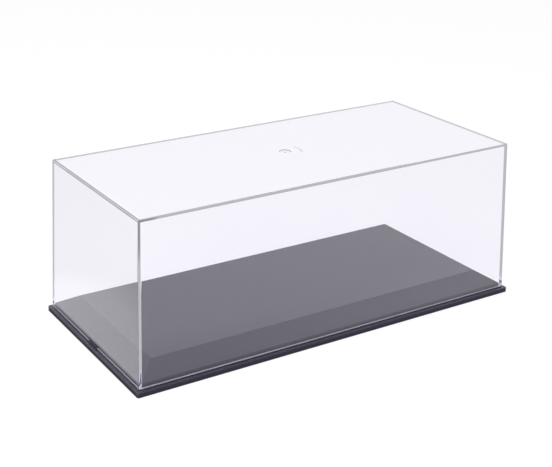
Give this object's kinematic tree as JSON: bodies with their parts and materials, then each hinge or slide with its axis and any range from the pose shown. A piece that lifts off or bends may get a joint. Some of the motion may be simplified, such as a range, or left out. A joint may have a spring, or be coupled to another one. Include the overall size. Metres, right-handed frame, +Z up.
{
  "type": "model car display case",
  "caption": "Rectangular display case: a low black moulded base with a raised, slope-sided deck, and a clear five-sided cover that lifts straight off it.",
  "frame": {"origin": "middle of the case's footprint, on the surface that its four feet stand on", "axes": "+X along the length, towards the right-hand short side; -Y is the front; +Z up, the way the cover lifts off"},
  "size_m": [0.325, 0.1522, 0.1219],
  "materials": {
    "black_base": "moulded black polystyrene with a semi-gloss surface",
    "clear_cover": "polished clear polystyrene",
    "foot_pad": "matt self-adhesive pad"
  },
  "bodies": {
    "base": {"base": "black_base", "foot_front_left": "foot_pad", "foot_front_right": "foot_pad", "foot_back_left": "foot_pad", "foot_back_right": "foot_pad"},
    "cover": {"cover": "clear_cover"}
  },
  "joints": [
    {"name": "cover_lift", "type": "slide", "parent": "base", "child": "cover", "axis": [0, 0, 1], "range_m": [0, 0.12]}
  ]
}
